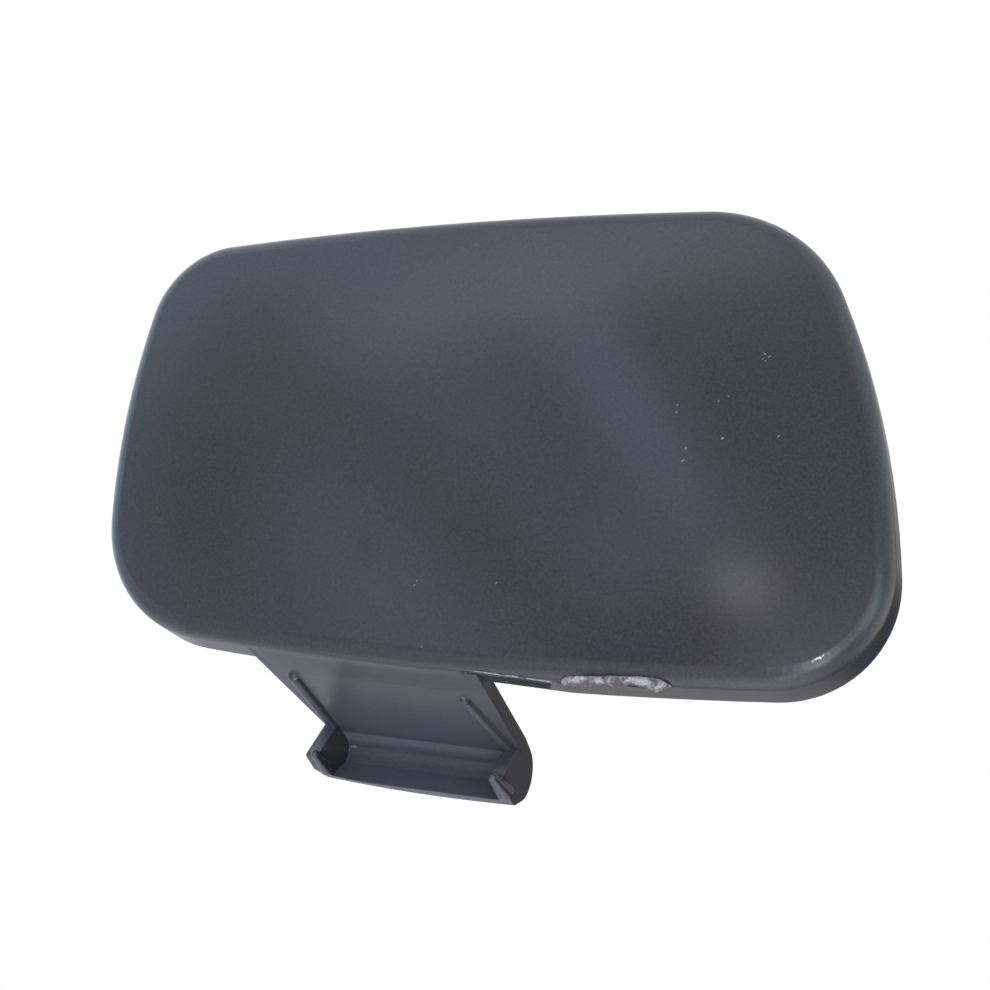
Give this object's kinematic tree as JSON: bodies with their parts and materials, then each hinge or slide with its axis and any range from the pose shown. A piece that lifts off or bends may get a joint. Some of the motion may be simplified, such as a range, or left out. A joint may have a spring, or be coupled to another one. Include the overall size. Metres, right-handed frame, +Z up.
{
  "type": "bumper tow hook cover",
  "caption": "Crowned plastic cover for the tow eye opening of a bumper, with a rolled edge, a shallow rim, a curled hook tab below and a snap tongue behind the top edge.",
  "frame": {"origin": "crown of the front face, on its outer surface", "axes": "+X to the right seen from the front, +Y to the back into the bumper, +Z up as installed"},
  "size_m": [0.0903, 0.0284, 0.0619],
  "materials": {
    "plastic": "smooth satin-gloss moulding, dark slate grey"
  },
  "bodies": {
    "root": {"tow_hook_cover": "plastic"}
  },
  "joints": []
}
